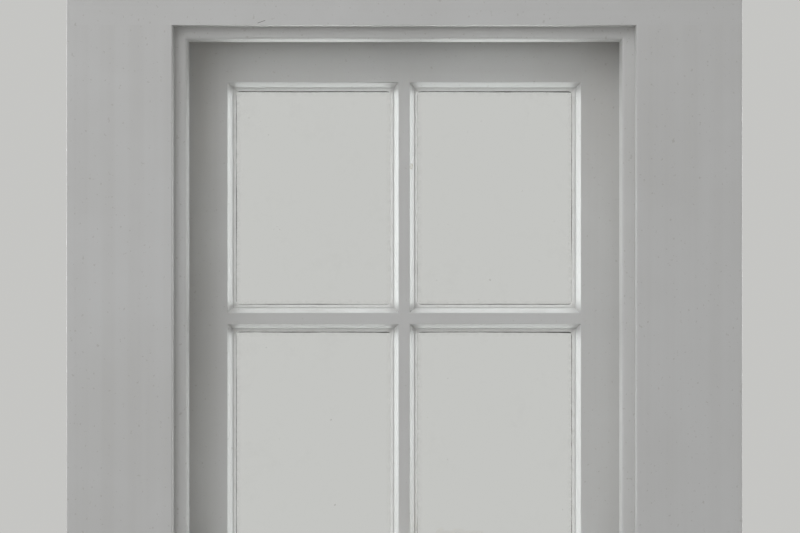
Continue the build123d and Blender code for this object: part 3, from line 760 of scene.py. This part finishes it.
panes = {
    "columns": (0.0120, 0.1845),                       # sight lines from the middle
    "lower_sash": {"rows": ((0.1385, 0.3750), (0.3990, 0.6355)), "face": -0.0425, "seed": 2.0},
    "upper_sash": {"rows": ((0.6755, 0.9120), (0.9360, 1.1725)), "face": 0.0075, "seed": 11.0},
    "lap": 0.0055,                                     # glass behind the moulding
    "glassFront": 0.0140,
    "thickness": 0.0030,
    "wave": 0.00012,
    "waveLength": 0.060,
    "waveDraw": 1.7,                                   # how much longer the waves are upwards
    "cells": (26, 34),
    "film": 0.007,                                     # how far the grime reaches from the putty
    "still": 0.009,                                    # an even margin under the putty
    "settle": 0.02,                                    # from the margin to the full wave
    "smoothDegrees": 40,
}


def fade(value, low, high):
    share = min(max((value - low) / (high - low), 0.0), 1.0)
    return share * share * (3 - 2 * share)


def makePane(sash, side, row):
    low, high = panes[sash]["rows"][row]
    near, far = panes["columns"]
    lap = panes["lap"]
    wide, tall = far - near + 2 * lap, high - low + 2 * lap
    middle, level = side * (near + far) / 2, (low + high) / 2
    front = panes[sash]["face"] + panes["glassFront"]

    def fromEdge(x, z):
        return min(wide / 2 - abs(x - middle), tall / 2 - abs(z - level))

    dropSelection()
    bpy.ops.mesh.primitive_grid_add(
        x_subdivisions=panes["cells"][0], y_subdivisions=panes["cells"][1], size=1,
        location=(middle, front, level), rotation=(math.radians(90), 0, 0),
    )
    pane = bpy.context.object
    pane.scale = (wide, tall, 1)
    settle(pane)
    openMesh(pane)
    bpy.ops.mesh.select_all(action="SELECT")
    bpy.ops.mesh.normals_make_consistent(inside=False)
    closeMesh()
    seed = Vector((side * 3.1, row * 5.7, panes[sash]["seed"]))     # each pane has its own waves
    length = panes["waveLength"]
    for vertex in pane.data.vertices:
        x, z = vertex.co.x, vertex.co.z
        share = fade(fromEdge(x, z) - panes["still"], 0.0, panes["settle"])
        spot = Vector((x / length, 0, z / (panes["waveDraw"] * length))) + seed
        vertex.co.y += panes["wave"] * noise.noise(spot) * share
    if pane.data.polygons[0].normal.y > 0:
        pane.data.flip_normals()
    wall = pane.modifiers.new("thickness", "SOLIDIFY")
    wall.thickness = panes["thickness"]
    wall.offset = -1
    applyModifiers(pane)
    film = pane.data.attributes.new("edgeFilm", "FLOAT", "POINT")
    for vertex in pane.data.vertices:
        edge = fromEdge(vertex.co.x, vertex.co.z)
        film.data[vertex.index].value = 1 - fade(edge - lap, 0.0, panes["film"])
    smoothByAngle(pane, panes["smoothDegrees"])
    return pane


for sash in ("lower_sash", "upper_sash"):
    glass = joined([makePane(sash, side, row) for side in (-1, 1) for row in (0, 1)],
                   sash.split("_")[0] + "_wavy_glass")
    finishWith(glass, oldGlass)
    standFor(glass, sash.split("_")[0] + "_glass_panes")
print("glass made")

puttyRun = {
    "step": 0.0045,            # between the cuts that let the edge wander
    "wander": 0.00045,
    "ripple": 0.00015,
    "overrun": {"top": 0.0035, "bottom": 0.0033, "outer": 0.0030, "bar": 0.0022},
    "waves": (14, 120),        # slow and quick, in a metre along the putty
    "roughOuter": 0.9,         # how much more the edge strays on the right, and in the lower row
    "roughLow": 0.5,
    "feather": (-0.0060, -0.0005),
    "reach": 0.0004,
    "sunk": 0.00003,
    "onGlass": 0.0002,
    "smoothDegrees": 50,
}


def gridCuts(piece, rows, step):
    far = panes["columns"][1]
    openMesh(piece)
    cuts = [((-far + step * index, 0, 0), (1, 0, 0)) for index in range(int(2 * far / step))]
    tall = rows[1][1] - rows[0][0]
    cuts += [((0, 0, rows[0][0] + step * index), (0, 0, 1)) for index in range(int(tall / step))]
    for point, along in cuts:
        bpy.ops.mesh.select_all(action="SELECT")
        bpy.ops.mesh.bisect(plane_co=point, plane_no=along)
    closeMesh()


def stray(along, line):
    slow, quick = puttyRun["waves"]
    swing = noise.noise(Vector((along * slow, line, 3.0))) * puttyRun["wander"]
    return swing + noise.noise(Vector((along * quick, line, 7.0))) * puttyRun["ripple"]


def runPutty(sash):
    name = sash.split("_")[0]
    putty = copyOfNode(name + "_putty", name + "_hand_run_putty")
    rows = panes[sash]["rows"]
    near, far = panes["columns"]
    gridCuts(putty, rows, puttyRun["step"])
    start, end = puttyRun["feather"]
    wide = puttyRun["overrun"]
    glassBack = panes[sash]["face"] + panes["glassFront"] + panes["thickness"]
    for vertex in putty.data.vertices:
        x, y, z = vertex.co
        side = 1 if x > 0 else -1
        low, high = rows[0] if z < (rows[0][1] + rows[1][0]) / 2 else rows[1]
        toNear, toFar = abs(x) - near, far - abs(x)
        acrossRoom = min(toNear, toFar)
        upRoom = min(z - low, high - z)
        atFar, atTop = toFar < toNear, high - z < z - low
        rough = 1.0 + (puttyRun["roughOuter"] if side > 0 and atFar else 0.0)
        rough += puttyRun["roughLow"] if low == rows[0][0] else 0.0
        if acrossRoom <= end + puttyRun["reach"]:
            push = wide["outer" if atFar else "bar"] - end + rough * stray(z, 10 * side + atFar)
            vertex.co.x += (-side if atFar else side) * push * fade(acrossRoom, start, end)
        if upRoom <= end + puttyRun["reach"]:
            push = wide["top" if atTop else "bottom"] - end + rough * stray(x, 20 * atTop + low)
            vertex.co.z += (-1 if atTop else 1) * push * fade(upRoom, start, end)
        if abs(y - glassBack) < puttyRun["onGlass"]:
            vertex.co.y -= puttyRun["sunk"]
    finishWith(putty, puttyPaint, beddingDirtAndShade)
    # faces against the glass take the near-black bedding finish: painted shade, with some dirt
    for face in putty.data.polygons:
        face.material_index = 1 if face.normal.y < -0.9 else 0     # bedding shows through the glass
    smoothByAngle(putty, puttyRun["smoothDegrees"])
    standFor(putty, name + "_putty")


runPutty("lower_sash")
runPutty("upper_sash")
print("putty run")


# painted bead of back putty in the corner between the moulding and the room side of the glass

backBead = {
    "top": 0.0111,             # depth behind the sash face where it leaves the moulding
    "width": 0.0027,
    "foot": 0.0139,
    "seat": 0.01403,
    "step": 0.003,
    "wander": 0.00016,
    "byBar": 0.0007,           # how much narrower it is beside the upright bar
    "cornerFill": 0.0009,
    "cornerReach": 0.005,
    "waves": 60,               # in a metre along the bead
    "onEdge": 0.0001,
    "smoothDegrees": 40,
}


def layBead(sash, side, row):
    look = backBead
    rows = panes[sash]["rows"]
    low, high = rows[row]
    near, far = panes["columns"]
    face = panes[sash]["face"]
    middle, level = side * (near + far) / 2, (low + high) / 2
    dropSelection()
    bpy.ops.mesh.primitive_plane_add(size=1, location=(middle, face + look["top"], level),
                                     rotation=(math.radians(90), 0, 0))
    bead = bpy.context.object
    bead.scale = (far - near, high - low, 1)
    settle(bead)
    openMesh(bead)
    bpy.ops.mesh.select_all(action="SELECT")
    bpy.ops.mesh.inset(thickness=look["width"])
    bpy.ops.transform.translate(value=(0, look["foot"] - look["top"], 0))
    bpy.ops.mesh.delete(type="FACE")
    closeMesh()
    gridCuts(bead, rows, look["step"])
    halfWide, halfTall = (far - near) / 2 - look["width"], (high - low) / 2 - look["width"]
    for vertex in bead.data.vertices:
        x, y, z = vertex.co
        share = (y - face - look["top"]) / (look["foot"] - look["top"])
        fromSide, fromEnd = halfWide - abs(x - middle), halfTall - abs(z - level)
        inX, inZ = (-1 if x > middle else 1), (-1 if z > level else 1)
        if fromSide < look["onEdge"]:
            spot = Vector((z * look["waves"], 5 * side + inX, row + face))
            move = noise.noise(spot) * look["wander"]
            move += look["cornerFill"] * (1 - fade(fromEnd, 0.0, look["cornerReach"])) ** 2
            move -= look["byBar"] * (inX == side and side > 0)
            vertex.co.x += inX * move * share
        if fromEnd < look["onEdge"]:
            spot = Vector((x * look["waves"], 9 + inZ, row + face))
            move = noise.noise(spot) * look["wander"]
            move += look["cornerFill"] * (1 - fade(fromSide, 0.0, look["cornerReach"])) ** 2
            vertex.co.z += inZ * move * share
    openMesh(bead)
    bpy.ops.mesh.select_all(action="SELECT")
    bpy.ops.mesh.extrude_region_move(TRANSFORM_OT_translate={"value": (0, 0.0001, 0)})
    mesh = bmesh.from_edit_mesh(bead.data)
    for point in mesh.verts:
        if point.select:
            point.co.y = face + look["seat"]
    bmesh.update_edit_mesh(bead.data)
    bpy.ops.mesh.select_all(action="SELECT")
    bpy.ops.mesh.normals_make_consistent(inside=False)
    closeMesh()
    smoothByAngle(bead, look["smoothDegrees"])
    return bead


for sash in ("lower_sash", "upper_sash"):
    beads = joined([layBead(sash, side, row) for side in (-1, 1) for row in (0, 1)],
                   sash.split("_")[0] + "_back_putty")
    finishWith(beads, puttyPaint)
    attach(beads, sash)
print("back putty laid")


# brass fittings, with their edges broken

fittings = {                  # how far the edges of each are broken
    "sash_lifts": 0.0005,
    "fastener_base": 0.0004,
    "fastener_lever": 0.0005,
    "fastener_keeper": 0.0004,
    "pulley_cases": 0.0003,
}

for node, softness in fittings.items():
    piece = copyOfNode(node, node + "_cast")
    breakEdges(piece, softness)
    evenNormals(piece, edging["smoothDegrees"])
    finishWith(piece, gearBrass if node == "pulley_cases" else fittingBrass)
    standFor(piece, node)

for node in nodes:
    if node.startswith("pulley_wheel"):
        finishWith(nodes[node], gearBrass)
    elif node.startswith("weight"):
        finishWith(nodes[node], castIron)
finishWith(nodes["pulley_axle_pins"], axleSteel)
print("fittings finished")


# slotted screws, modelled once and copied

screw = {
    "head": 0.0034,
    "sides": 32,
    "rim": 0.0002,
    "rise": 0.0008,
    "stepIn": 0.3,            # of the head's radius, at each step of the rise
    "steps": (0.35, 0.45),
    "slot": 0.0009,
    "slotDepth": 0.0007,
    "sunk": 0.0006,
    "edge": 0.00012,
    "smoothDegrees": 35,
    "turns": (0.7, 2.1),      # of the first screw's slot, and from one screw to the next
}
caseSpots = [(y, z) for y in (-0.025, 0.025) for z in (1.0985, 1.2015)]
liftSpots = [(side * x, z) for side in (-1, 1) for x in (0.1042, 0.1358) for z in (0.0998, 0.1235)]
screwPlaces = {
    "lift_screws": ("lower_sash", (0, -1, 0), [(x, -0.0450, z) for x, z in liftSpots]),
    "fastener_screws": ("lower_sash", (0, 0, 1), [(x, -0.0210, 0.6785) for x in (0.0420, 0.0780)]),
    "keeper_screws": ("upper_sash", (0, 0, 1), [(x, 0.0105, 0.6785) for x in (0.0422, 0.0765)]),
    "left_case_screws": ("frame", (1, 0, 0), [(-0.2400, y, z) for y, z in caseSpots]),
    "right_case_screws": ("frame", (-1, 0, 0), [(0.2400, y, z) for y, z in caseSpots]),
    "left_pocket_screws": ("frame", (1, 0, 0), [(-0.2400, -0.025, 0.1640)]),
    "right_pocket_screws": ("frame", (-1, 0, 0), [(0.2400, -0.025, 0.1640)]),
}


def makeScrew():
    dropSelection()
    bpy.ops.mesh.primitive_cylinder_add(
        vertices=screw["sides"], radius=screw["head"], depth=screw["sunk"] + screw["rim"],
        location=(0, 0, -screw["sunk"] / 2 + screw["rim"] / 2),
    )
    head = bpy.context.object
    settle(head)
    openMesh(head)
    choose(head, "faces", lambda face: face.normal.z > 0.9)
    for share in screw["steps"]:
        bpy.ops.mesh.inset(thickness=screw["head"] * screw["stepIn"])
        bpy.ops.transform.translate(value=(0, 0, screw["rise"] * share))
    closeMesh()
    dropSelection()
    bpy.ops.mesh.primitive_cube_add(size=1, location=(0, 0, screw["rise"]))
    cutter = bpy.context.object
    cutter.scale = (4 * screw["head"], screw["slot"], 2 * screw["slotDepth"])
    settle(cutter)
    slot = head.modifiers.new("slot", "BOOLEAN")
    slot.operation = "DIFFERENCE"
    slot.object = cutter
    applyModifiers(head)
    bpy.data.objects.remove(cutter)
    breakEdges(head, screw["edge"])
    smoothByAngle(head, screw["smoothDegrees"])
    return head


master = makeScrew()
for name, (body, facing, places) in screwPlaces.items():
    copies = []
    for index, place in enumerate(places):
        copy = bpy.data.objects.new(name, master.data.copy())
        scene.collection.objects.link(copy)
        roll = Quaternion((0, 0, 1), screw["turns"][0] + screw["turns"][1] * index)
        copy.rotation_mode = "QUATERNION"
        copy.rotation_quaternion = Vector(facing).to_track_quat("Z", "Y") @ roll
        copy.location = place
        copies.append(copy)
    screws = joined(copies, name)
    finishWith(screws, gearBrass if "case" in name or "pocket" in name else fittingBrass)
    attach(screws, body)
bpy.data.objects.remove(master)
print("screws set")


# sash cords, each from its knot over the wheel; the picture stretches them where they would slide

cord = {
    "radius": 0.0030,
    "sides": 16,
    "ring": 0.012,            # metres between the rings of a straight run
    "overWheel": 24,          # rings round the wheel
    "smoothDegrees": 50,
    "sashX": 0.2345,
    "wheelX": 0.2570,
    "weightX": 0.2795,
    "wheelZ": 1.1500,
    "pitch": 0.0225,
    "knotX": 0.2320,
    "knot": {"turn": 0.0036, "thick": 0.0025, "gap": 0.0034, "tilt": 16, "sides": (28, 12)},
    "lower": {"y": -0.025, "knotZ": 0.5055, "weightZ": 1.0435, "weightTop": 1.0655},
    "upper": {"y": 0.025, "knotZ": 1.0585, "weightZ": 0.5035, "weightTop": 0.5255},
}


def markTube(piece, side, y):
    flat = piece.data.uv_layers.active or piece.data.uv_layers.new(name="UVMap")
    points = piece.data.vertices
    wheel = Vector((side * cord["wheelX"], 0, cord["wheelZ"]))

    def spot(co):
        if co.z > cord["wheelZ"]:
            arm = Vector((co.x - wheel.x, 0, co.z - wheel.z))
            out = arm.length - cord["pitch"]
            along = cord["wheelZ"] + cord["pitch"] * math.atan2(arm.z, -side * arm.x)
        else:
            out = abs(co.x - wheel.x) - cord["pitch"]
            along = co.z
        return math.atan2(co.y - y, out) / (2 * math.pi), along

    for face in piece.data.polygons:
        turns = [spot(points[piece.data.loops[loop].vertex_index].co) for loop in face.loop_indices]
        wraps = max(turn[0] for turn in turns) - min(turn[0] for turn in turns) > 0.5
        for loop, (around, along) in zip(face.loop_indices, turns):
            flat.data[loop].uv = (around + 1 if wraps and around < 0 else around, along)


def tieKnot(x, y, z):
    look = cord["knot"]
    made = []
    for step in (-1, 0, 1):
        dropSelection()
        lean = math.radians(look["tilt"] * (1 if step else -1))
        bpy.ops.mesh.primitive_torus_add(
            major_segments=look["sides"][0], minor_segments=look["sides"][1],
            major_radius=look["turn"], minor_radius=look["thick"],
            location=(x, y, z + step * look["gap"]),
            rotation=(lean, math.radians(step * look["tilt"]), 0),
        )
        turn = bpy.context.object
        flat = turn.data.uv_layers.active
        length = 2 * math.pi * look["turn"]
        for loop in flat.data:
            loop.uv = (loop.uv.y, loop.uv.x * length)
        settle(turn)
        made.append(turn)
    return made


def pullCord(x, y, bottom):
    dropSelection()
    bpy.ops.mesh.primitive_circle_add(vertices=cord["sides"], radius=cord["radius"],
                                      fill_type="NGON", location=(x, y, bottom))
    piece = bpy.context.object
    settle(piece)
    openMesh(piece, "EDGE")
    bpy.ops.mesh.select_all(action="SELECT")
    bpy.ops.mesh.flip_normals()
    length = cord["wheelZ"] - bottom
    steps = max(3, round(length / cord["ring"]))
    choose(piece, "edges", lambda edge: True)
    for step in range(steps):
        bpy.ops.mesh.extrude_region_move(TRANSFORM_OT_translate={"value": (0, 0, length / steps)})
    return piece


def endTube(piece, side, y):
    openMesh(piece)
    bpy.ops.mesh.select_all(action="SELECT")
    bpy.ops.mesh.remove_doubles(threshold=0.000002)
    bpy.ops.mesh.normals_make_consistent(inside=False)
    closeMesh()
    markTube(piece, side, y)


def joinAs(name, made):
    whole = joined(made, name)
    smoothByAngle(whole, cord["smoothDegrees"])
    finishWith(whole, cottonCord)
    return whole


for run in ("lower", "upper"):
    spec = cord[run]
    y = spec["y"]
    made = []
    for side in (-1, 1):
        piece = pullCord(side * cord["sashX"], y, spec["knotZ"])
        bpy.ops.mesh.spin(steps=cord["overWheel"], angle=math.pi, dupli=False,
                          center=(side * cord["wheelX"], y, cord["wheelZ"]), axis=(0, -side, 0))
        closeMesh()
        endTube(piece, side, y)
        made.append(piece)
        made += tieKnot(side * cord["knotX"], y, spec["knotZ"])
    sashRun = joinAs("cords_" + run + "_sash_run", made)
    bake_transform(sashRun)
    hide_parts("cords_" + run)
    for side, word in ((-1, "left"), (1, "right")):
        piece = pullCord(side * cord["weightX"], y, spec["weightZ"])
        closeMesh()
        endTube(piece, side, y)
        weightRun = joinAs("cord_" + run + "_weight_" + word,
                           [piece] + tieKnot(side * cord["weightX"], y, spec["weightZ"]))
        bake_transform(weightRun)
print("cords laid")


# camera

view = {"place": (-0.0045, -2.5955, 0.980), "lens": 108.7, "sensor": 36.0, "farthest": 60.0}

bpy.ops.object.camera_add(location=view["place"], rotation=(math.radians(90), 0, 0))
camera = bpy.context.object
camera.data.lens = view["lens"]
camera.data.sensor_width = view["sensor"]
camera.data.clip_end = view["farthest"]
scene.camera = camera


# light, floor and background

studio = {
    "background": (0.56, 0.56, 0.545),
    "floor": (0.36, 0.357, 0.347),
    "floorRadius": 7.0,
    "floorFade": (1.3, 4.2),  # from the window, where the floor turns into the background
    "mottle": 3.0,
    "fill": 0.40,
    "lampColour": (0.975, 0.985, 1.0),
}
lamps = {
    "skyBehind": {"place": (0.0, 0.95, 3.3), "aim": (0.0, 0.0, 0.85), "size": 1.9, "power": 45.0},
    "leftBehind": {"place": (-2.7, 1.3, 1.1), "aim": (0.0, 0.0, 0.85), "size": 1.1, "power": 34.0},
    "rightBehind": {"place": (2.7, 1.3, 1.1), "aim": (0.0, 0.0, 0.85), "size": 1.1, "power": 34.0},
    "lowBehind": {"place": (0.0, 0.50, 0.18), "aim": (0.0, -0.05, 1.25), "size": 0.8, "deep": 0.25,
                  "power": 1.05, "spread": 40, "mirrored": False},
    "roomFill": {"place": (-1.6, -3.2, 2.4), "aim": (0.0, 0.0, 0.8), "size": 2.6, "power": 42.0},
}

for name, lamp in lamps.items():
    aim = Vector(lamp["aim"]) - Vector(lamp["place"])
    bpy.ops.object.light_add(type="AREA", location=lamp["place"],
                             rotation=aim.to_track_quat("-Z", "Y").to_euler())
    light = bpy.context.object
    light.name = name
    light.data.shape = "RECTANGLE"
    light.data.size = lamp["size"]
    light.data.size_y = lamp.get("deep", lamp["size"])
    light.data.energy = lamp["power"]
    light.data.spread = math.radians(lamp.get("spread", 180))
    light.data.color = studio["lampColour"]
    light.visible_camera = False
    light.visible_transmission = False
    light.visible_glossy = lamp.get("mirrored", True)

dropSelection()
bpy.ops.mesh.primitive_circle_add(vertices=96, radius=studio["floorRadius"], fill_type="NGON")
floor = bpy.context.object
floor.name = "paleFloor"
floorFinish = Finish("paleFloor")
spot = floorFinish.place()
mottle = floorFinish.noise(spot, studio["mottle"], 3.0)
away = floorFinish.add("ShaderNodeVectorMath", {"operation": "LENGTH"}, {0: spot}, "Value")
far = away.spread(*studio["floorFade"])
seenFloor = far * (1.0 - floorFinish.add("ShaderNodeLightPath", None, None, "Is Diffuse Ray"))
floorFinish.surface({
    "Base Color": floorFinish.mixed(far, studio["floor"], (0.0, 0.0, 0.0)),
    "Emission Color": floorFinish.mixed(seenFloor, (0.0, 0.0, 0.0), studio["background"]),
    "Emission Strength": 1.0,
    "Specular IOR Level": 0.0,
    "Roughness": 0.8 + 0.1 * mottle,
})
finishWith(floor, floorFinish.material)

world = bpy.data.worlds.new("studio")
scene.world = world
world.use_nodes = True
world.node_tree.nodes.clear()
sky = Finish("studio", world.node_tree)
rays = {kind: sky.add("ShaderNodeLightPath", None, None, kind)
        for kind in ("Is Camera Ray", "Is Glossy Ray", "Is Transmission Ray")}
seen = rays["Is Camera Ray"].most(rays["Is Glossy Ray"]).most(rays["Is Transmission Ray"])
shown = sky.add("ShaderNodeBackground", None, {"Color": studio["background"], "Strength": 1.0})
lighting = sky.add("ShaderNodeBackground", None,
                   {"Color": (1.0, 1.0, 1.0), "Strength": studio["fill"]})
both = sky.add("ShaderNodeMixShader", None, {0: seen, 1: lighting, 2: shown})
end = world.node_tree.nodes.new("ShaderNodeOutputWorld")
sky.plug(end.inputs["Surface"], both)

scene.view_settings.view_transform = "Standard"
print("camera and light set")
